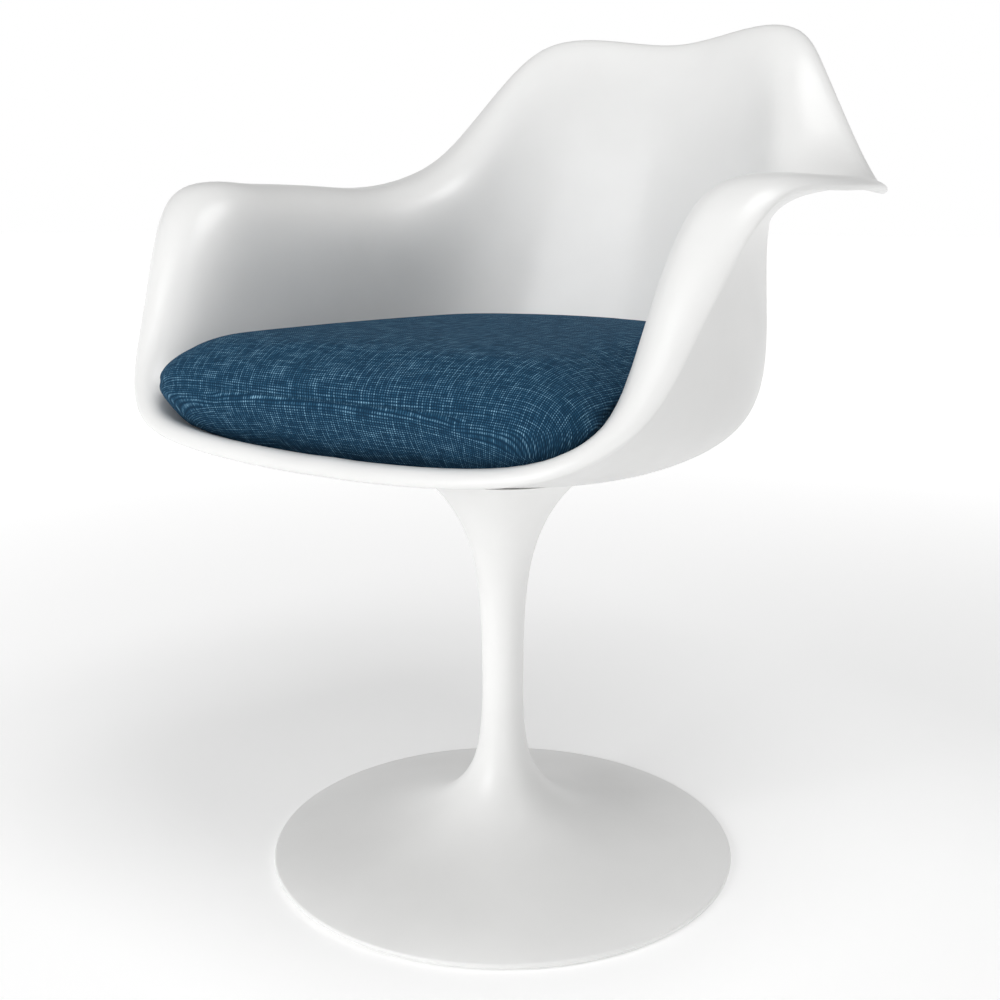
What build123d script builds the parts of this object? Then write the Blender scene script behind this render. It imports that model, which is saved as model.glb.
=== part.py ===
from build123d import *
import math
import os
from collections import namedtuple

import numpy as np

# A swivelling shell armchair on a trumpet pedestal, with a loose seat cushion.
# Millimetres, +Z up. The chair faces -Y and its origin is on the floor under the swivel axis.

# Pedestal casting
seat_land = 380          # height of the pedestal's top ring
flare_radius = 78        # the trumpet's mouth, under the seat
waist_radius = 20        # the stem at its thinnest
waist_height = 184
foot_radius = 226
foot_edge = 6.5          # height of the foot's upper edge above the floor
foot_wall = 5            # thickness of the foot's dish
foot_edge_round = 2
foot_profile = [(130, 23), (57, 54), (31, 86), (23, 116)]    # radius and height, edge to stem
flare_profile = [(22.5, 122), (33, 66), (52.5, 27)]          # radius and depth under the top ring
core_step = 1.5          # how far the stem's core is wider than the bush bore

# Glide ring let into the underside of the foot
glide_inset = 10         # from the foot's edge to the ring
glide_width = 10
glide_depth = 3          # depth of its groove
glide_stand = 1.5        # how far it lifts the casting off the floor

# Swivel
spindle_radius = 10
bush_wall = 3
bush_length = 24
lower_bush_height = 262  # bottom of the lower bush above the floor
running_clearance = 0.05
cup_depth = 16           # recess in the pedestal's top for the swivel plate
cup_clearance = 3
thrust_washer = 2        # thickness
thrust_clearance = 0.1
plate_radius = 48
plate_thickness = 8
boss_radius = 20
spindle_recess = 2       # the spindle's top below the plate's top
end_washer = 2           # thickness
end_play = 0.3
ring_thickness = 1.2     # retaining ring
ring_width = 3.5
groove_depth = 1.2
ring_clearance = 0.1
spindle_tail = 5         # length below the retaining ring
spindle_chamfer = 1.5

# Seat shell
seam_gap = 1             # shadow gap between pedestal and shell
wall = 6
hub_thickness = 11       # the moulding at its bolted floor
hub_radius = 70          # flat floor over the swivel plate
floor_radius = 82        # where the floor starts to rise
belly = 200              # half width of the bowl's lower corner
belly_front = 158
belly_back = 192
belly_square = 2.2       # how square its plan is: 2 is an ellipse
belly_rise = 17
belly_front_rise = 10    # extra rise of the floor towards the open front
side = 222               # half width of the upright wall
side_front = 216
side_back = 210
side_square = 3.2
side_rise = 24
side_tall_rise = 48      # extra height of the wall's foot under the arms and back
tall_wall = 230          # throat height that counts as a full wall
wall_share = 0.55        # where the wall is guided between its foot and the throat
hub_spread = 0.33        # share of the way to the rim over which the hub thins to the wall

# Seat fixings
bolt_circle = 34         # radius
bolt_count = 4
bolt_start = 45          # degrees from the side to the first bolt
bolt_radius = 4
bolt_clearance = 0.5
thread_clearance = 0.05
bolt_head_radius = 7
bolt_head_height = 3.3
bolt_socket = 2.5        # radius of the driving socket
bolt_socket_depth = 2
bolt_end_margin = 1      # from the bolt's tip to the plate's lower face
bolt_washer_radius = 9
bolt_washer = 1.5        # thickness

# Hook and loop pads that hold the cushion
pad_length = 50
pad_width = 16
pad_offset = 54          # from the axis to a pad's middle
pad_thickness = 2.4
pad_gap = 0.3

# Cushion
cushion_side_gap = 9.5   # from the arms' inside at its narrowest to the cushion's side, at the seam
cushion_front_gap = 6    # from the shell's front edge to the cushion's front
cushion_back_gap = 8     # from the back's inside to the cushion's back, at the seam
cushion_draw = 40        # how far the sides draw in towards the back
cushion_front_bow = 6    # how far the front edge bows out between its corners
cushion_back_bow = 52
cushion_middle = -40     # back from the axis to the middle of the side's curve
cushion_front_corner = 30
cushion_flare = 6        # how much wider the front corners are than the middle
cushion_under_corner = 160   # the front corners at the underside, where the bowl is rounder
cushion_back_corner = 95
cover_thickness = 1.5
cover_gap = 0.3
cushion_depth = 79       # from the underside to the seam, where the cushion is widest
cushion_crown = 41       # from the seam to the top
cushion_flat = 0.18      # share of the outline that is level at the top and underneath
cushion_steps = 7        # levels above and below the seam
cushion_shoulder = 0.55  # how square the top's edge is, from 0, square, to 1, round
cushion_bilge = 1.2      # the same for the underside, which follows the bowl

# One station round the moulding: its rim edge, the crest of the rolled lip and the throat, where
# the wall turns into the lip. Each is out from the middle, back from the axis, up from the hub.
Station = namedtuple("Station", "rim crest throat")
stations = [
    Station((0, -250, 40), (0, -246, 51), (0, -230, 45)),            # front middle
    Station((80, -252, 42), (75, -248, 53), (69, -232, 46)),
    Station((155, -251, 49), (151, -248, 59), (139, -235, 52)),
    Station((213, -240, 63), (207, -239, 72), (193, -229, 64)),      # front corner
    Station((254, -212, 93), (246, -216, 101), (227, -209, 94)),
    Station((276, -178, 150), (260, -187, 159), (234, -173, 154)),   # front of the arm
    Station((292, -148, 207), (266, -159, 218), (232, -136, 211)),
    Station((309, -108, 250), (281, -112, 264), (228, -88, 255)),    # top corner of the arm
    Station((326, -50, 257), (300, -48, 269), (221, -37, 260)),
    Station((329, 20, 258), (306, 18, 268), (214, 21, 260)),         # widest
    Station((318, 85, 257), (300, 82, 266), (206, 70, 259)),
    Station((297, 140, 257), (282, 135, 265), (197, 105, 259)),      # lowest of the arm
    Station((273, 190, 267), (259, 184, 275), (188, 136, 268)),
    Station((246, 229, 290), (235, 222, 297), (179, 172, 287)),
    Station((216, 256, 330), (206, 249, 336), (165, 210, 326)),      # side of the back
    Station((183, 282, 378), (175, 275, 384), (148, 246, 372)),
    Station((149, 308, 412), (142, 301, 418), (122, 276, 406)),      # top corner of the back
    Station((100, 328, 419), (94, 320, 425), (84, 296, 413)),
    Station((48, 340, 413), (45, 332, 419), (40, 308, 407)),
    Station((0, 344, 409), (0, 336, 415), (0, 312, 403)),            # back middle
]
beside_cushion = range(4, 9)     # numbers of the stations at the cushion's sides
inner_steps = 16         # points up each face of the wall
edge_steps = 4           # points round the rim's edge
spare_sections = 2       # sections past the middle at each end, trimmed off again
flat_tolerance = 0.05
slope_step = 0.001       # step, in stations or shares, that gives the wall's direction

# Heights and radii that follow
underside = seat_land + seam_gap
floor_top = underside + hub_thickness
cup_floor = seat_land - cup_depth
bush_bore = spindle_radius + running_clearance
bush_radius = bush_bore + bush_wall
core_radius = bush_radius + core_step
glide_outer = foot_radius - glide_inset
glide_inner = glide_outer - glide_width
plate_bottom = underside - plate_thickness
boss_bottom = cup_floor + thrust_washer + thrust_clearance
end_washer_top = lower_bush_height - end_play
ring_top = end_washer_top - end_washer
spindle_bottom = ring_top - ring_thickness - spindle_tail
cushion_base = floor_top + pad_thickness + pad_gap + pad_thickness


def bowl_point(rim_point, half_width, front, back, power, height):
    """A point of the bowl's rounded plan, in the direction of a rim point."""
    heading = math.atan2(rim_point[0], -rim_point[1])
    across, along = math.sin(heading), -math.cos(heading)
    depth = front if along < 0 else back
    reach = (abs(across / half_width) ** power + abs(along / depth) ** power) ** (-1 / power)
    return np.array((reach * across, reach * along, height))


def circle_point(rim_point, radius, height):
    """A point of a level circle, in the direction of a rim point."""
    return bowl_point(rim_point, radius, radius, radius, 2, height)


def guide_points(station):
    """The points that guide the wall's middle at one station, from the hub to the rim."""
    middle = hub_thickness / 2
    fullness = min(1, station.throat[2] / tall_wall)
    corner_height = middle + belly_rise + belly_front_rise * (1 - fullness)
    foot_height = middle + side_rise + side_tall_rise * fullness
    wall_foot = bowl_point(station.rim, side, side_front, side_back, side_square, foot_height)
    throat = np.array(station.throat)
    return [
        circle_point(station.rim, hub_radius, middle),
        circle_point(station.rim, floor_radius, middle),
        bowl_point(station.rim, belly, belly_front, belly_back, belly_square, corner_height),
        wall_foot,
        wall_foot + wall_share * (throat - wall_foot),
        throat,
        np.array(station.crest),
        np.array(station.rim),
    ]


def closed_guides():
    """Spline poles of each guide loop, closed round both sides and passing through its stations."""
    half = np.array([guide_points(station) for station in stations], dtype=float)
    other_side = half[-2:0:-1] * (-1, 1, 1)
    points = np.concatenate([half, other_side])
    count = len(points)
    here = np.eye(count)
    spline = (4 * here + np.roll(here, 1, axis=1) + np.roll(here, -1, axis=1)) / 6
    return np.linalg.solve(spline, points.reshape(count, -1)).reshape(points.shape)


def guides_at(poles, place):
    """The guide points at a place along the loops, counted in stations."""
    start = math.floor(place)
    u = place - start
    weights = ((1 - u) ** 3, 3 * u**3 - 6 * u**2 + 4, -3 * u**3 + 3 * u**2 + 3 * u + 1, u**3)
    return sum(weight / 6 * poles[(start - 1 + k) % len(poles)] for k, weight in enumerate(weights))


def wall_point(guides, share):
    """A point of the cubic spline that the guide points shape, from hub (0) to rim (1)."""
    degree = 3
    spans = len(guides) - degree
    knots = [0] * degree + list(range(spans + 1)) + [spans] * degree
    x = share * spans
    first = min(int(x), spans - 1)
    points = [guides[first + k] for k in range(degree + 1)]
    for level in range(1, degree + 1):
        for k in range(degree, level - 1, -1):
            low, high = knots[first + k], knots[first + k + 1 + degree - level]
            blend = (x - low) / (high - low)
            points[k] = (1 - blend) * points[k - 1] + blend * points[k]
    return points[degree]


def unit(vector):
    return vector / np.linalg.norm(vector)


def half_thickness(share):
    """Half the moulding's thickness, which eases from the hub to the wall."""
    ease = min(1, share / hub_spread)
    return (hub_thickness + (wall - hub_thickness) * ease**2 * (3 - 2 * ease)) / 2


def shell_column(poles, place):
    """Points round one section of the moulding: up the inside, over the rim, down the outside."""
    before, here, after = (guides_at(poles, place + shift) for shift in (-slope_step, 0, slope_step))
    inside, outside = [], []
    for k in range(inner_steps + 1):
        share = k / inner_steps
        point = wall_point(here, share)
        along = wall_point(after, share) - wall_point(before, share)
        up = wall_point(here, min(1, share + slope_step)) - wall_point(here, max(0, share - slope_step))
        normal = unit(np.cross(up, along)) if k else np.array((0, 0, 1))
        inside.append(point + half_thickness(share) * normal)
        outside.append(point - half_thickness(share) * normal)
    edge = []
    for k in range(1, edge_steps):
        turn = math.pi * k / edge_steps
        edge.append(point + half_thickness(1) * (normal * math.cos(turn) + unit(up) * math.sin(turn)))
    return inside + edge + outside[::-1]


# Pedestal: one casting, a shallow dished foot that sweeps up into a stem and a flared mouth
foot_curve = [(foot_radius - foot_edge_round, foot_edge), *foot_profile]
flare_curve = [(radius, seat_land - depth) for radius, depth in flare_profile]
flare_curve.append((flare_radius, seat_land))
dish_curve = [(glide_inner, foot_edge - foot_wall + glide_stand)]
dish_curve += [(radius, height - foot_wall) for radius, height in foot_curve[1:3]]
dish_curve.append((core_radius, foot_curve[3][1]))
with BuildPart() as pedestal:
    with BuildSketch(Plane.XZ):
        with BuildLine():
            Spline(*foot_curve, (waist_radius, waist_height), *flare_curve)
            Polyline(
                flare_curve[-1],
                (plate_radius + cup_clearance, seat_land),
                (plate_radius + cup_clearance, cup_floor),
                (bush_radius, cup_floor),
                (bush_radius, lower_bush_height),
                (core_radius, lower_bush_height),
                dish_curve[-1],
            )
            Spline(*dish_curve[::-1])
            Polyline(
                dish_curve[0],
                (glide_inner, glide_depth + glide_stand),
                (glide_outer, glide_depth + glide_stand),
                (glide_outer, glide_stand),
                (foot_radius - foot_edge_round, glide_stand),
            )
            ThreePointArc(
                (foot_radius - foot_edge_round, glide_stand),
                (foot_radius, (glide_stand + foot_edge) / 2),
                (foot_radius - foot_edge_round, foot_edge),
            )
        make_face()
    revolve(axis=Axis.Z)
pedestal.part.label = "pedestal"


def ring(inner, outer, bottom, height):
    """A plain ring about the swivel axis."""
    with BuildPart() as part:
        with BuildSketch(Plane.XY.offset(bottom)):
            Circle(outer)
            Circle(inner, mode=Mode.SUBTRACT)
        extrude(amount=height)
    return part.part


foot_glide = ring(glide_inner, glide_outer, 0, glide_depth + glide_stand)
upper_bush = ring(bush_bore, bush_radius, cup_floor - bush_length, bush_length)
lower_bush = ring(bush_bore, bush_radius, lower_bush_height, bush_length)
bearing_washer = ring(bush_bore, boss_radius, cup_floor, thrust_washer)
spindle_washer = ring(spindle_radius, core_radius - core_step / 2, ring_top, end_washer)

# Swivel plate: a round flange bolted under the seat, with a boss that holds the spindle
with BuildPart() as swivel_plate:
    with BuildSketch(Plane.XY.offset(boss_bottom)):
        Circle(boss_radius)
    extrude(amount=plate_bottom - boss_bottom)
    with BuildSketch(Plane.XY.offset(plate_bottom)):
        Circle(plate_radius)
    extrude(amount=plate_thickness)
    with BuildSketch(Plane.XY.offset(boss_bottom)):
        Circle(spindle_radius)
    extrude(amount=underside - boss_bottom, mode=Mode.SUBTRACT)
    with BuildSketch(Plane.XY.offset(plate_bottom)):
        with PolarLocations(bolt_circle, bolt_count, bolt_start):
            Circle(bolt_radius + thread_clearance)
    extrude(amount=plate_thickness, mode=Mode.SUBTRACT)

# Spindle: pressed into the plate, with a groove for its retaining ring
groove_radius = spindle_radius - groove_depth
with BuildPart() as spindle:
    with BuildSketch(Plane.XY.offset(spindle_bottom)):
        Circle(spindle_radius)
    extrude(amount=underside - spindle_recess - spindle_bottom)
    chamfer(spindle.faces().sort_by(Axis.Z)[0].edges(), spindle_chamfer)
    with BuildSketch(Plane.XY.offset(ring_top - ring_thickness)):
        Circle(spindle_radius)
        Circle(groove_radius, mode=Mode.SUBTRACT)
    extrude(amount=ring_thickness, mode=Mode.SUBTRACT)

# Retaining ring: an open spring ring in the spindle's groove
with BuildPart() as retaining_ring:
    with BuildSketch(Plane.XY.offset(ring_top - ring_thickness)):
        Circle(groove_radius + ring_clearance + ring_width)
        Circle(groove_radius + ring_clearance, mode=Mode.SUBTRACT)
        with Locations((0, -spindle_radius)):
            Rectangle(groove_radius, spindle_radius, mode=Mode.SUBTRACT)
    extrude(amount=ring_thickness)

# Seat shell: one glass-reinforced moulding, built as two mirrored faces that run from the hub up
# the inside, over the rim and down the outside, closed by the two flat faces of the hub
poles = closed_guides()
sections = []
for place in range(-spare_sections, len(stations) + spare_sections):
    with BuildLine() as section:
        Spline(*[tuple(point + (0, 0, underside)) for point in shell_column(poles, place)])
    sections.append(section.wire())
skin = Shell.make_loft(sections).faces()[0]
right_side = skin.split(Plane.YZ, keep=Keep.TOP).faces()[0]
left_side = right_side.mirror(Plane.YZ)
hub_edges = right_side.edges().filter_by(lambda edge: edge.bounding_box().size.Z < flat_tolerance)
hub_faces = [Face(Wire([edge, edge.mirror(Plane.YZ)])) for edge in hub_edges]
with BuildPart() as seat_shell:
    add(Solid(Shell([right_side, left_side, *hub_faces])))
    with BuildSketch(Plane.XY.offset(underside)):
        with PolarLocations(bolt_circle, bolt_count, bolt_start):
            Circle(bolt_radius + bolt_clearance)
    extrude(amount=hub_thickness, mode=Mode.SUBTRACT)

# Seat bolts and their washers, under the cushion
head_bottom = floor_top + bolt_washer
with BuildPart() as seat_bolts:
    with BuildSketch(Plane.XY.offset(plate_bottom + bolt_end_margin)):
        with PolarLocations(bolt_circle, bolt_count, bolt_start):
            Circle(bolt_radius)
    extrude(amount=head_bottom - plate_bottom - bolt_end_margin)
    with BuildSketch(Plane.XY.offset(head_bottom)):
        with PolarLocations(bolt_circle, bolt_count, bolt_start):
            Circle(bolt_head_radius)
    extrude(amount=bolt_head_height)
    with BuildSketch(Plane.XY.offset(head_bottom + bolt_head_height)):
        with PolarLocations(bolt_circle, bolt_count, bolt_start):
            RegularPolygon(bolt_socket, 6)
    extrude(amount=-bolt_socket_depth, mode=Mode.SUBTRACT)
with BuildPart() as bolt_washers:
    with BuildSketch(Plane.XY.offset(floor_top)):
        with PolarLocations(bolt_circle, bolt_count, bolt_start):
            Circle(bolt_washer_radius)
            Circle(bolt_radius + bolt_clearance, mode=Mode.SUBTRACT)
    extrude(amount=bolt_washer)


def pads(bottom):
    """The two fastening pads, in front of and behind the bolts."""
    with BuildPart() as part:
        with BuildSketch(Plane.XY.offset(bottom)):
            with Locations((0, pad_offset), (0, -pad_offset)):
                Rectangle(pad_length, pad_width)
        extrude(amount=pad_thickness)
    return part.part


hook_pads = pads(floor_top)
loop_pads = pads(cushion_base - pad_thickness)


def inside_at(place, height):
    """Where the shell's inside is at a station: out from the middle and back, at a height."""
    inside = np.array(shell_column(poles, place)[: inner_steps + 1]) + (0, 0, underside)
    rising = inside[: inside[:, 2].argmax() + 1]
    return [np.interp(height, rising[:, 2], rising[:, axis]) for axis in (0, 1)]


seam = cushion_base + cushion_depth
cushion_half = min(inside_at(number, seam)[0] for number in beside_cushion) - cushion_side_gap
cushion_front = -stations[0].rim[1] - cushion_front_gap
cushion_back = inside_at(len(stations) - 1, seam)[1] - cushion_back_gap


def cushion_outline(front_radius):
    """The cushion's plan: a bowed front, swelling sides and a rounder back."""
    front_corner = (cushion_half + cushion_flare, cushion_front_bow - cushion_front)
    back_corner = (cushion_half - cushion_draw, cushion_back - cushion_back_bow)
    middle = (cushion_half, cushion_middle)
    with BuildSketch() as plan:
        with BuildLine():
            ThreePointArc((-front_corner[0], front_corner[1]), (0, -cushion_front), front_corner)
            side_edge = ThreePointArc(front_corner, middle, back_corner)
            ThreePointArc(back_corner, (0, cushion_back), (-back_corner[0], back_corner[1]))
            mirror(side_edge, about=Plane.YZ)
        make_face()
        fillet(plan.vertices().group_by(Axis.Y)[0], front_radius)
        fillet(plan.vertices().group_by(Axis.Y)[-1], cushion_back_corner)
    return plan.sketch


def cushion_levels():
    """Share of the outline, height above the seam and front corner, from the underside to the top."""
    levels = []
    for step in range(-cushion_steps, cushion_steps + 1):
        turn = math.pi / 2 * abs(step) / cushion_steps
        roundness = cushion_shoulder if step > 0 else cushion_bilge
        reach = cushion_crown if step > 0 else -cushion_depth
        share = cushion_flat + (1 - cushion_flat) * abs(math.cos(turn)) ** roundness
        height = reach * math.sin(turn) ** roundness
        depth = max(0, -height / cushion_depth)
        corner = cushion_front_corner + (cushion_under_corner - cushion_front_corner) * math.sqrt(depth)
        levels.append((share, height, corner))
    return levels


def cushion_form(inset):
    """The cushion's crowned form, drawn in all round by an inset."""
    centre = (cushion_back - cushion_front) / 2
    with BuildPart() as part:
        for share, level, corner in cushion_levels():
            height = level * (1 - inset / cushion_crown)
            with BuildSketch(Plane((0, centre, seam + height))):
                add(Pos(0, -centre) * cushion_outline(corner))
                scale(by=share - inset / cushion_half)
        loft(ruled=True)
    return part.part


# Cushion: a foam core in a cover of two panels, sewn together at the widest level
cushion_foam = cushion_form(cover_thickness + cover_gap)
with BuildPart() as cushion_cover:
    add(cushion_form(0))
    add(cushion_form(cover_thickness), mode=Mode.SUBTRACT)
seam_plane = Plane.XY.offset(seam)
cushion_top_cover = split(cushion_cover.part, seam_plane, Keep.TOP, mode=Mode.PRIVATE)
cushion_bottom_cover = split(cushion_cover.part, seam_plane, Keep.BOTTOM, mode=Mode.PRIVATE)

pieces = {
    "pedestal": pedestal.part,
    "foot_glide": foot_glide,
    "upper_bush": upper_bush,
    "lower_bush": lower_bush,
    "thrust_washer": bearing_washer,
    "swivel_plate": swivel_plate.part,
    "spindle": spindle.part,
    "spindle_washer": spindle_washer,
    "retaining_ring": retaining_ring.part,
    "seat_shell": seat_shell.part,
    "seat_bolts": seat_bolts.part,
    "bolt_washers": bolt_washers.part,
    "hook_pads": hook_pads,
    "loop_pads": loop_pads,
    "cushion_foam": cushion_foam,
    "cushion_top_cover": cushion_top_cover,
    "cushion_bottom_cover": cushion_bottom_cover,
}
os.makedirs("parts", exist_ok=True)
for name, piece in pieces.items():
    piece.label = name
    export_step(piece, f"parts/{name}.step")
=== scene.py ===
import math

import bpy
import numpy as np
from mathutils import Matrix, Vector
from mathutils.bvhtree import BVHTree


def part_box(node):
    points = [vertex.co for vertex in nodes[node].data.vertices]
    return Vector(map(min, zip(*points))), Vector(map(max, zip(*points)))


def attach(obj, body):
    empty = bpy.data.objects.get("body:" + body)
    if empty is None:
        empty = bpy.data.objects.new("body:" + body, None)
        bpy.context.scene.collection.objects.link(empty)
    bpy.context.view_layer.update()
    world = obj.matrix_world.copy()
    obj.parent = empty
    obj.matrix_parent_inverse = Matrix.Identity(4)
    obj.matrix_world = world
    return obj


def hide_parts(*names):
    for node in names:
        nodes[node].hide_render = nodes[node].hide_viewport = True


# A white swivel shell armchair on a trumpet pedestal, with a loose blue cushion.
# Metres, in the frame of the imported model: +Z up, the chair faces -Y.

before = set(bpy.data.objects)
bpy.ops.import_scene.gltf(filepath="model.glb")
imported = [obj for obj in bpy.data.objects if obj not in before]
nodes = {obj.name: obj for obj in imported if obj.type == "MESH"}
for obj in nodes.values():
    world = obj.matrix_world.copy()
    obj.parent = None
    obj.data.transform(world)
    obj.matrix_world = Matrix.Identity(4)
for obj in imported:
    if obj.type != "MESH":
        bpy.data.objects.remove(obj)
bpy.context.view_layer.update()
mm = 0.001

# Camera, from the photograph's perspective
camera_side = 34.0            # degrees round from the front, towards the sitter's left
camera_pan = 0.13             # degrees that it looks away from the swivel axis
camera_pitch = 12.57          # degrees down
camera_reach = 1200 * mm      # level distance from the swivel axis
camera_height = 621 * mm
camera_lens = 46.8            # on a sensor 36 wide
camera_sensor = 36.0

# Cushion
remesh_size = 5 * mm
swell_pressure = 4.0
swell_frames = 20
swell_limit = 5 * mm          # the farthest that the stuffing may push the cloth
under_round = 0.8             # how round the underside is, from 1, a circle's arc, to 0, a box
under_flat = 0.18             # share of the outline that lies level underneath
under_level = 0.96            # share of the depth where that level part begins
outline_steps = 72            # directions in which the outline is measured
smooth_passes = 10            # evens out the voxels' steps
front_bulge = 4 * mm          # how far the sewn edge stands out at the middle of the front
edge_bulge = 14 * mm          # and at the sides and corners
edge_reach = 22 * mm          # over this height
bowl_gap = 1.0 * mm           # the cloth stays this far from the shell
seam_depth = 1.6 * mm
seam_width = 4.0 * mm
plan_squareness = 5           # how square the cushion's plan counts for the run of its threads

# Cloth
thread_mm = 2.5               # from one thread to the next
slub_mm = 24                  # length of the paler stretches of a yarn
waver_mm = 25                 # a yarn strays to one side and back over this length
waver_depth = 0.6 * mm        # by up to this much
crossing_highlight = 0.16           # painted highlight on every thread crossing, beside 1 for a full slub

# Metal
wave_radians = 20             # how far a wave texture of scale 1 turns over a metre

# Floor and light
floor_size = 60.0
floor_glow = 0.18             # the floor's own light near the chair
far_glow = 0.7                # and far from it
glow_start = 0.7              # it rises from this far out
glow_end = 3.0                # to here
wall_top = 0.15               # the walls are white up to this height, where 1 is straight up
wall_fade = 0.3               # and end here
room_light = 0.22             # light from level directions, without the walls
ceiling_light = 0.4           # light from straight up
seat_height = 0.45            # what the lights aim at
light_bounces = 12            # white walls pass light on many times
floor_drop = 0.2 * mm         # the floor lies this far under the glide, so the two don't flicker


def linear(hex_colour):
    """Linear RGBA of an sRGB hex colour."""
    channels = [int(hex_colour[k : k + 2], 16) / 255 for k in (0, 2, 4)]
    straight = [c / 12.92 if c <= 0.04045 else ((c + 0.055) / 1.055) ** 2.4 for c in channels]
    return (*straight, 1.0)


def per_size(size_mm):
    """The scale of a texture whose features are this many millimetres across."""
    return 1000.0 / size_mm


def add_node(tree, kind, inputs=None, **settings):
    """Adds a node with its settings; an input is a plain value or the socket that feeds it."""
    node = tree.nodes.new(kind)
    for name, value in settings.items():
        setattr(node, name, value)
    for name, value in (inputs or {}).items():
        if isinstance(value, bpy.types.NodeSocket):
            tree.links.new(value, node.inputs[name])
        else:
            node.inputs[name].default_value = value
    return node


def new_material(name):
    """An empty node material and its shader."""
    material = bpy.data.materials.new(name)
    material.use_nodes = True
    return material, material.node_tree, material.node_tree.nodes["Principled BSDF"]


def set_shader(shader, **values):
    for name, value in values.items():
        shader.inputs[name.replace("_", " ")].default_value = value


def ramp_colours(node, stops):
    """Sets a colour ramp's stops from (place, hex colour) pairs."""
    ramp = node.color_ramp
    while len(ramp.elements) < len(stops):
        ramp.elements.new(1.0)
    for element, (place, colour) in zip(ramp.elements, stops):
        element.position = place
        element.color = linear(colour)


def painted(name, tones, cloud_mm, gloss, peel_mm, peel_depth, coat):
    """A sprayed finish: two close tones, a roughness that drifts and the spray's fine orange peel."""
    material, tree, shader = new_material(name)
    place = add_node(tree, "ShaderNodeTexCoord").outputs["Object"]
    cloud = add_node(
        tree, "ShaderNodeTexNoise", {"Vector": place, "Scale": per_size(cloud_mm), "Detail": 3.0}
    )
    tone = add_node(tree, "ShaderNodeValToRGB", {"Fac": cloud.outputs["Fac"]})
    ramp_colours(tone, [(0.3, tones[0]), (0.7, tones[1])])
    drift = add_node(
        tree, "ShaderNodeMapRange",
        {
            "Value": cloud.outputs["Fac"], "From Min": 0.3, "From Max": 0.7,
            "To Min": gloss[0], "To Max": gloss[1],
        },
    )
    peel = add_node(tree, "ShaderNodeTexNoise", {"Vector": place, "Scale": per_size(peel_mm), "Detail": 2.0})
    bump = add_node(
        tree, "ShaderNodeBump", {"Height": peel.outputs["Fac"], "Strength": 0.35, "Distance": peel_depth * mm}
    )
    tree.links.new(tone.outputs["Color"], shader.inputs["Base Color"])
    tree.links.new(drift.outputs["Result"], shader.inputs["Roughness"])
    tree.links.new(bump.outputs["Normal"], shader.inputs["Normal"])
    set_shader(shader, IOR=1.5, Coat_Weight=coat, Coat_Roughness=0.2)
    return material


def turned_metal(name, tones, gloss, line_mm):
    """A turned or plated metal: rings from the lathe, this far apart, about the swivel axis."""
    material, tree, shader = new_material(name)
    place = add_node(tree, "ShaderNodeTexCoord").outputs["Object"]
    rings = add_node(
        tree, "ShaderNodeTexWave",
        {
            "Vector": place, "Scale": per_size(line_mm) * 2 * math.pi / wave_radians,
            "Distortion": 0.6, "Detail": 2.0,
        },
        wave_type="RINGS", rings_direction="Z",
    )
    tone = add_node(tree, "ShaderNodeValToRGB", {"Fac": rings.outputs["Fac"]})
    ramp_colours(tone, [(0.0, tones[0]), (1.0, tones[1])])
    tree.links.new(tone.outputs["Color"], shader.inputs["Base Color"])
    set_shader(shader, Metallic=1.0, Roughness=gloss)
    return material


def moulded_plastic(name, tones, gloss, grain_mm):
    """A moulded plastic with a fine spark-eroded grain."""
    material, tree, shader = new_material(name)
    place = add_node(tree, "ShaderNodeTexCoord").outputs["Object"]
    grain = add_node(
        tree, "ShaderNodeTexNoise", {"Vector": place, "Scale": per_size(grain_mm), "Detail": 2.0}
    )
    tone = add_node(tree, "ShaderNodeValToRGB", {"Fac": grain.outputs["Fac"]})
    ramp_colours(tone, [(0.35, tones[0]), (0.65, tones[1])])
    bump = add_node(
        tree, "ShaderNodeBump", {"Height": grain.outputs["Fac"], "Strength": 0.3, "Distance": 0.1 * mm}
    )
    tree.links.new(tone.outputs["Color"], shader.inputs["Base Color"])
    tree.links.new(bump.outputs["Normal"], shader.inputs["Normal"])
    set_shader(shader, Roughness=gloss, IOR=1.49)
    return material


def hook_tape(name):
    """Woven fastening tape: close dark piles."""
    material, tree, shader = new_material(name)
    place = add_node(tree, "ShaderNodeTexCoord").outputs["Object"]
    piles = add_node(tree, "ShaderNodeTexVoronoi", {"Vector": place, "Scale": per_size(1.4)})
    tone = add_node(tree, "ShaderNodeValToRGB", {"Fac": piles.outputs["Distance"]})
    ramp_colours(tone, [(0.1, "2A2B2E"), (0.6, "101113")])
    bump = add_node(
        tree, "ShaderNodeBump", {"Height": piles.outputs["Distance"], "Strength": 0.6, "Distance": 0.5 * mm}
    )
    tree.links.new(tone.outputs["Color"], shader.inputs["Base Color"])
    tree.links.new(bump.outputs["Normal"], shader.inputs["Normal"])
    set_shader(shader, Roughness=0.9)
    return material


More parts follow.
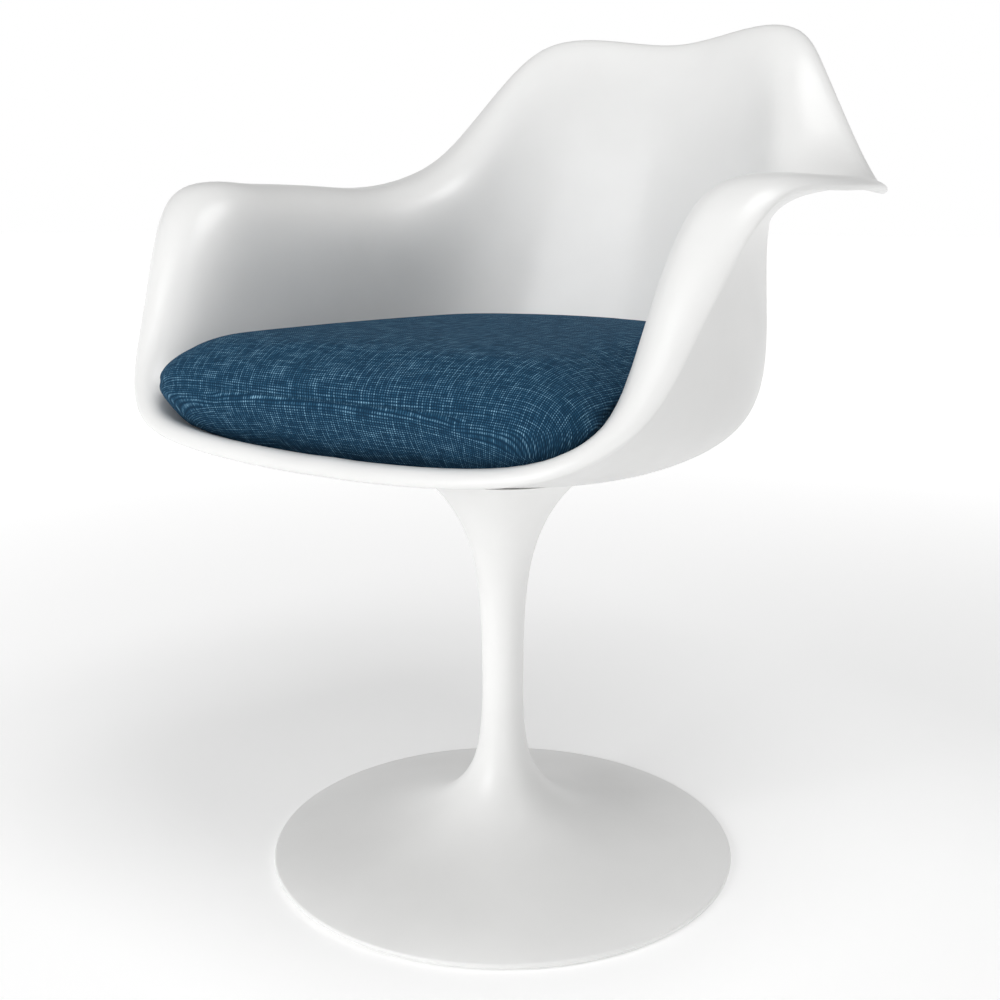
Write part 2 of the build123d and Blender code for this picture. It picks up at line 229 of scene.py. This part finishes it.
def slub_cloth(name):
    """Coarse blue cloth of uneven yarns: a dark ground with paler slubs along both thread directions, a
    painted highlight on every thread crossing and painted shade in the gaps between threads.
    """
    material, tree, shader = new_material(name)
    weave = add_node(tree, "ShaderNodeUVMap", uv_map="weave").outputs["UV"]
    waver = add_node(
        tree, "ShaderNodeTexNoise", {"Vector": weave, "Scale": per_size(waver_mm), "Detail": 1.0}
    )
    shift = add_node(
        tree, "ShaderNodeVectorMath",
        {0: waver.outputs["Color"], 1: (waver_depth, waver_depth, 0.0), 2: weave},
        operation="MULTIPLY_ADD",
    )
    crowns, slubs = [], []
    for across, along in ((thread_mm, slub_mm), (slub_mm, thread_mm)):
        axis = "X" if across < along else "Y"
        apart = add_node(tree, "ShaderNodeSeparateXYZ", {"Vector": shift.outputs["Vector"]})
        turns = add_node(
            tree, "ShaderNodeMath", {0: apart.outputs[axis], 1: math.pi * per_size(thread_mm)},
            operation="MULTIPLY",
        )
        wave = add_node(tree, "ShaderNodeMath", {0: turns.outputs["Value"]}, operation="SINE")
        crown = add_node(tree, "ShaderNodeMath", {0: wave.outputs["Value"]}, operation="ABSOLUTE")
        scaled = add_node(
            tree, "ShaderNodeMapping", {"Vector": weave, "Scale": (per_size(across), per_size(along), 1.0)}
        )
        noise = add_node(
            tree, "ShaderNodeTexNoise",
            {"Vector": scaled.outputs["Vector"], "Scale": 1.0, "Detail": 2.0, "Roughness": 0.7},
        )
        slub = add_node(
            tree, "ShaderNodeMapRange",
            {"Value": noise.outputs["Fac"], "From Min": 0.46, "From Max": 0.78, "To Min": 0.0, "To Max": 1.0},
        )
        crowns.append(crown.outputs["Value"])
        slubs.append(slub.outputs["Result"])
    # Painted light and shade: thread crossings lighter, gaps between threads darker; the slubs are the yarn's
    # own paler colour
    lit = add_node(tree, "ShaderNodeMath", {0: crowns[0], 1: crowns[1]}, operation="MULTIPLY")
    both = add_node(tree, "ShaderNodeMath", {0: slubs[0], 1: slubs[1]}, operation="ADD")
    either = add_node(tree, "ShaderNodeMath", {0: both.outputs["Value"], 1: crossing_highlight}, operation="ADD")
    lit_crossings = add_node(tree, "ShaderNodeMath", {0: lit.outputs["Value"], 1: 1.6}, operation="POWER")
    tint = add_node(
        tree, "ShaderNodeMath", {0: either.outputs["Value"], 1: lit_crossings.outputs["Value"]}, operation="MULTIPLY"
    )
    tone = add_node(tree, "ShaderNodeValToRGB", {"Fac": tint.outputs["Value"]})
    ramp_colours(tone, [(0.0, "112E44"), (0.25, "214C68"), (1.0, "7AA3BC")])
    bump = add_node(
        tree, "ShaderNodeBump", {"Height": lit.outputs["Value"], "Strength": 0.6, "Distance": 0.6 * mm}
    )
    tree.links.new(tone.outputs["Color"], shader.inputs["Base Color"])
    tree.links.new(bump.outputs["Normal"], shader.inputs["Normal"])
    set_shader(shader, Roughness=0.95, Specular_IOR_Level=0.12)
    return material


def paint_node(name, material):
    """Gives a CAD node its finish."""
    nodes[name].data.materials.clear()
    nodes[name].data.materials.append(material)


def select_only(piece):
    bpy.ops.object.select_all(action="DESELECT")
    piece.select_set(True)
    bpy.context.view_layer.objects.active = piece


def copy_of(node_name, piece_name):
    """A copy of a CAD node as a new piece, with its loose triangles joined."""
    piece = bpy.data.objects.new(piece_name, nodes[node_name].data.copy())
    bpy.context.scene.collection.objects.link(piece)
    select_only(piece)
    bpy.ops.object.mode_set(mode="EDIT")
    bpy.ops.mesh.select_all(action="SELECT")
    bpy.ops.mesh.remove_doubles(threshold=0.01 * mm)
    bpy.ops.object.mode_set(mode="OBJECT")
    return piece


def apply_modifier(piece, kind, **settings):
    """Adds a modifier, sets it and applies it."""
    modifier = piece.modifiers.new(kind.lower(), kind)
    for name, value in settings.items():
        setattr(modifier, name, value)
    select_only(piece)
    bpy.ops.object.modifier_apply(modifier=modifier.name)


def places(piece):
    """The piece's vertex places as an array."""
    flat = np.zeros(len(piece.data.vertices) * 3)
    piece.data.vertices.foreach_get("co", flat)
    return flat.reshape(-1, 3)


def put_places(piece, where):
    piece.data.vertices.foreach_set("co", where.ravel())
    piece.data.update()


def swell(piece):
    """Stuffs the piece: cloth pushed out by pressure, no farther than the limit."""
    start = places(piece)
    cloth = piece.modifiers.new("stuffing", "CLOTH")
    cloth.settings.quality = 5
    cloth.settings.mass = 0.3
    cloth.settings.use_pressure = True
    cloth.settings.uniform_pressure_force = swell_pressure
    cloth.settings.effector_weights.gravity = 0.0
    cloth.point_cache.frame_start = 1
    cloth.point_cache.frame_end = swell_frames
    for step in range(1, swell_frames + 1):
        bpy.context.scene.frame_set(step)
    select_only(piece)
    bpy.ops.object.modifier_apply(modifier=cloth.name)
    bpy.context.scene.frame_set(1)
    move = places(piece) - start
    length = np.linalg.norm(move, axis=1, keepdims=True)
    put_places(piece, start + move * np.minimum(1.0, swell_limit / np.maximum(length, 1e-9)))


def outward(where):
    """Level directions away from the cushion's middle, square to the nearest side."""
    low, high = where.min(axis=0), where.max(axis=0)
    middle, half = (low + high)[:2] / 2, (high - low)[:2] / 2
    square = (where[:, :2] - middle) / half
    way = np.zeros_like(where)
    way[:, :2] = np.sign(square) * np.abs(square) ** plan_squareness / half
    return way / np.maximum(np.linalg.norm(way, axis=1, keepdims=True), 1e-9)


def keep_clear(piece, bowl, seam_height):
    """Draws every point that is in the shell, or too near it, back towards the cushion's middle."""
    where = places(piece)
    middle = Vector((where.min(axis=0) + where.max(axis=0)) / 2)
    middle.z = seam_height
    for k, point in enumerate(where):
        way = Vector(point) - middle
        hit = bowl.ray_cast(middle, way, way.length + bowl_gap)
        if hit[0]:
            where[k] = middle + way.normalized() * (hit[3] - bowl_gap)
    put_places(piece, where)


def fill_bowl(piece, bowl, seam_height):
    """Rounds the underside and the sewn edge out, as far as the bowl leaves room."""
    where = places(piece)
    spread = where - (where.min(axis=0) + where.max(axis=0)) / 2
    spread[:, 2] = 0
    reach = np.linalg.norm(spread, axis=1)
    turn = np.arctan2(spread[:, 1], spread[:, 0])
    depth = (seam_height - where[:, 2]) / (seam_height - where[:, 2].min())
    turns = np.linspace(-math.pi, math.pi, outline_steps + 1)
    edge = np.abs(where[:, 2] - seam_height) < remesh_size
    slot = np.round((turn[edge] + math.pi) / (2 * math.pi) * outline_steps).astype(int)
    widest = np.array([reach[edge][slot == k].max() for k in range(outline_steps + 1)])
    side = (depth > 0) & (depth < under_level)
    share = np.clip(depth[side], 0, 1) ** (2 / under_round)
    width = under_flat + (1 - under_flat) * (1 - share) ** (under_round / 2)
    wanted = np.interp(turn[side], turns, widest) * width
    move = np.zeros_like(where)
    move[side] = spread[side] * (np.maximum(wanted / reach[side], 1) - 1)[:, None]
    corner = np.abs(spread[:, 0] / spread[:, 0].max()) ** 2
    bulge = (front_bulge + (edge_bulge - front_bulge) * corner) * np.exp(
        -(((where[:, 2] - seam_height) / edge_reach) ** 2)
    )
    move += outward(where) * bulge[:, None]
    length = np.linalg.norm(move, axis=1)
    for k in np.nonzero(length > 0.01 * mm)[0]:
        hit = bowl.ray_cast(Vector(where[k]), Vector(move[k]), length[k] + bowl_gap)
        if hit[0]:
            move[k] *= max(0, hit[3] - bowl_gap) / length[k]
    put_places(piece, where + move)


def weave_map(piece, seam_height):
    """A map in metres that lets the threads run straight over the top and on down each side."""
    where = places(piece)
    low, high = where.min(axis=0), where.max(axis=0)
    square = (where[:, :2] - (low + high)[:2] / 2) / ((high - low)[:2] / 2)
    power = plan_squareness + 1
    inset = 1 - np.clip((np.abs(square) ** power).sum(axis=1) ** (1 / power), 0, 1)
    run = high[2] - where[:, 2]
    run += np.where(where[:, 2] < seam_height, 2 * inset * (high - low)[0] / 2, 0)
    flat = where[:, :2] + outward(where)[:, :2] * run[:, None]
    layer = piece.data.uv_layers.new(name="weave")
    corners = np.zeros(len(piece.data.loops), dtype=np.int32)
    piece.data.loops.foreach_get("vertex_index", corners)
    layer.data.foreach_set("uv", flat[corners].ravel())


def sew_seam(piece, seam_height):
    """Draws the cloth in along the seam."""
    where = places(piece)
    near = np.exp(-(((where[:, 2] - seam_height) / seam_width) ** 2))
    put_places(piece, where - outward(where) * (seam_depth * near)[:, None])


def seat_cushion():
    """The loose cushion: stuffed cloth that settles in the bowl, with a seam round its widest level."""
    piece = copy_of("cushion_foam", "seat_cushion")
    apply_modifier(piece, "REMESH", mode="VOXEL", voxel_size=remesh_size)
    shell = nodes["seat_shell"].data
    bowl = BVHTree.FromPolygons(
        [point.co for point in shell.vertices], [face.vertices for face in shell.polygons]
    )
    seam_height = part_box("cushion_bottom_cover")[1].z
    fill_bowl(piece, bowl, seam_height)
    swell(piece)
    apply_modifier(piece, "SMOOTH", iterations=smooth_passes, factor=0.5)
    apply_modifier(piece, "SUBSURF", levels=1, render_levels=1)
    sew_seam(piece, seam_height)
    keep_clear(piece, bowl, seam_height)
    weave_map(piece, seam_height)
    select_only(piece)
    bpy.ops.object.shade_smooth()
    piece.data.materials.clear()
    # Woven of uneven yarns: a dark matt ground, with pale dots in rows along the thicker stretches; every
    # thread crossing has a painted highlight and the gaps between threads painted shade
    piece.data.materials.append(slub_cloth("blue slub weave, uneven yarns"))
    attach(piece, "cushion")
    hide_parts("cushion_foam", "cushion_top_cover", "cushion_bottom_cover")


def smooth_copy(node_name, piece_name, body, material, sharp_angle):
    """A piece that stands for a CAD node, with its facets shaded smooth."""
    piece = copy_of(node_name, piece_name)
    select_only(piece)
    bpy.ops.object.shade_smooth_by_angle(angle=math.radians(sharp_angle))
    piece.data.materials.clear()
    piece.data.materials.append(material)
    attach(piece, body)
    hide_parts(node_name)


# Sprayed satin lacquer over a glass fibre moulding: near white, a broad soft highlight
lacquer = painted(
    "satin lacquer on glass fibre, sprayed", tones=("E4E4E3", "E0E0DF"), cloud_mm=90,
    gloss=(0.30, 0.36), peel_mm=1.2, peel_depth=0.08, coat=0.15,
)
# Baked coating on a casting: the shell's white, painted lighter to make up for the seat's shade over the
# base, with a little less shine
coating = painted(
    "baked coating on cast aluminium", tones=("F4F4F3", "EFEFEE"), cloud_mm=120,
    gloss=(0.36, 0.42), peel_mm=1.5, peel_depth=0.1, coat=0.1,
)
# Moulded plastics with the mould's fine grain: pale grey and even, or near black with a dull shine
glide = moulded_plastic("moulded nylon", ("C9CBCC", "BFC1C3"), gloss=0.5, grain_mm=1.0)
washer = moulded_plastic("moulded acetal", ("2A2A2C", "232325"), gloss=0.45, grain_mm=1.0)
# Turned metals: faint rings from the lathe, warm brown on bronze and cool grey on plated steel
bronze = turned_metal("turned bearing bronze", ("8C6A3C", "A07C49"), gloss=0.35, line_mm=2.513)
steel = turned_metal("turned zinc-plated steel", ("9A9B9D", "AEB0B2"), gloss=0.32, line_mm=2.513)
# Woven tape: a dark pile without any shine
tape = hook_tape("woven hook and loop tape")

paint_node("foot_glide", glide)
paint_node("thrust_washer", washer)
for name in ("upper_bush", "lower_bush"):
    paint_node(name, bronze)
for name in ("swivel_plate", "spindle", "spindle_washer", "retaining_ring", "seat_bolts", "bolt_washers"):
    paint_node(name, steel)
for name in ("hook_pads", "loop_pads"):
    paint_node(name, tape)

smooth_copy("seat_shell", "shell", "seat", lacquer, sharp_angle=50)
smooth_copy("pedestal", "base", "pedestal", coating, sharp_angle=30)
seat_cushion()


def area_light(name, turn, height, reach, size, power):
    """A soft square light that faces the seat, this many degrees round from the front."""
    data = bpy.data.lights.new(name, "AREA")
    data.shape = "SQUARE"
    data.size = size
    data.energy = power
    lamp = bpy.data.objects.new(name, data)
    angle = math.radians(turn)
    lamp.location = (reach * math.sin(angle), -reach * math.cos(angle), height)
    aim = Vector((0, 0, seat_height)) - lamp.location
    lamp.rotation_euler = aim.to_track_quat("-Z", "Y").to_euler()
    bpy.context.scene.collection.objects.link(lamp)


def studio_floor():
    """A pale floor, lit a little from below like a light table, more so away from the chair."""
    bpy.ops.object.select_all(action="DESELECT")
    bpy.ops.mesh.primitive_plane_add(size=floor_size, location=(0, 0, -floor_drop))
    floor = bpy.context.object
    floor.name = "floor"
    material, tree, shader = new_material("pale studio floor")
    place = add_node(tree, "ShaderNodeTexCoord").outputs["Object"]
    away = add_node(tree, "ShaderNodeVectorMath", {0: place}, operation="LENGTH")
    glow = add_node(
        tree, "ShaderNodeMapRange",
        {
            "Value": away.outputs["Value"], "From Min": glow_start, "From Max": glow_end,
            "To Min": floor_glow, "To Max": far_glow,
        },
    )
    tree.links.new(glow.outputs["Result"], shader.inputs["Emission Strength"])
    set_shader(
        shader, Base_Color=linear("F6F6F6"), Roughness=0.8, Specular_IOR_Level=0.1,
        Emission_Color=linear("FFFFFF"),
    )
    floor.data.materials.append(material)


def studio_world():
    """White walls all round at eye level, dim above them and brighter towards the ceiling."""
    world = bpy.data.worlds.new("studio")
    world.use_nodes = True
    tree = world.node_tree
    way = add_node(tree, "ShaderNodeTexCoord").outputs["Generated"]
    height = add_node(tree, "ShaderNodeSeparateXYZ", {"Vector": way}).outputs["Z"]
    walls = add_node(
        tree, "ShaderNodeMapRange",
        {"Value": height, "From Min": wall_top, "From Max": wall_fade, "To Min": 1.0, "To Max": 0.0},
    )
    room = add_node(
        tree, "ShaderNodeMapRange", {"Value": height, "To Min": room_light, "To Max": ceiling_light}
    )
    level = add_node(
        tree, "ShaderNodeMath", {0: walls.outputs["Result"], 1: room.outputs["Result"]}, operation="MAXIMUM"
    )
    tree.links.new(level.outputs["Value"], tree.nodes["Background"].inputs["Strength"])
    tree.nodes["Background"].inputs["Color"].default_value = linear("FFFFFF")
    bpy.context.scene.world = world


def photo_camera():
    """The camera at the photograph's angle."""
    side = math.radians(camera_side)
    data = bpy.data.cameras.new("photo camera")
    data.lens = camera_lens
    data.sensor_width = camera_sensor
    camera = bpy.data.objects.new("photo camera", data)
    camera.location = (camera_reach * math.sin(side), -camera_reach * math.cos(side), camera_height)
    camera.rotation_euler = (math.radians(90 - camera_pitch), 0, math.radians(camera_side + camera_pan))
    bpy.context.scene.collection.objects.link(camera)
    bpy.context.scene.camera = camera


studio_floor()
studio_world()
# A large soft key from the viewer's left, and a weaker one overhead that reaches into the bowl
area_light("key", turn=-18, height=1.9, reach=3.6, size=2.2, power=65)
area_light("overhead", turn=70, height=3.6, reach=1.2, size=1.8, power=44)
photo_camera()
bpy.context.scene.view_settings.view_transform = "Standard"
bpy.context.scene.cycles.max_bounces = light_bounces
bpy.context.scene.cycles.diffuse_bounces = light_bounces
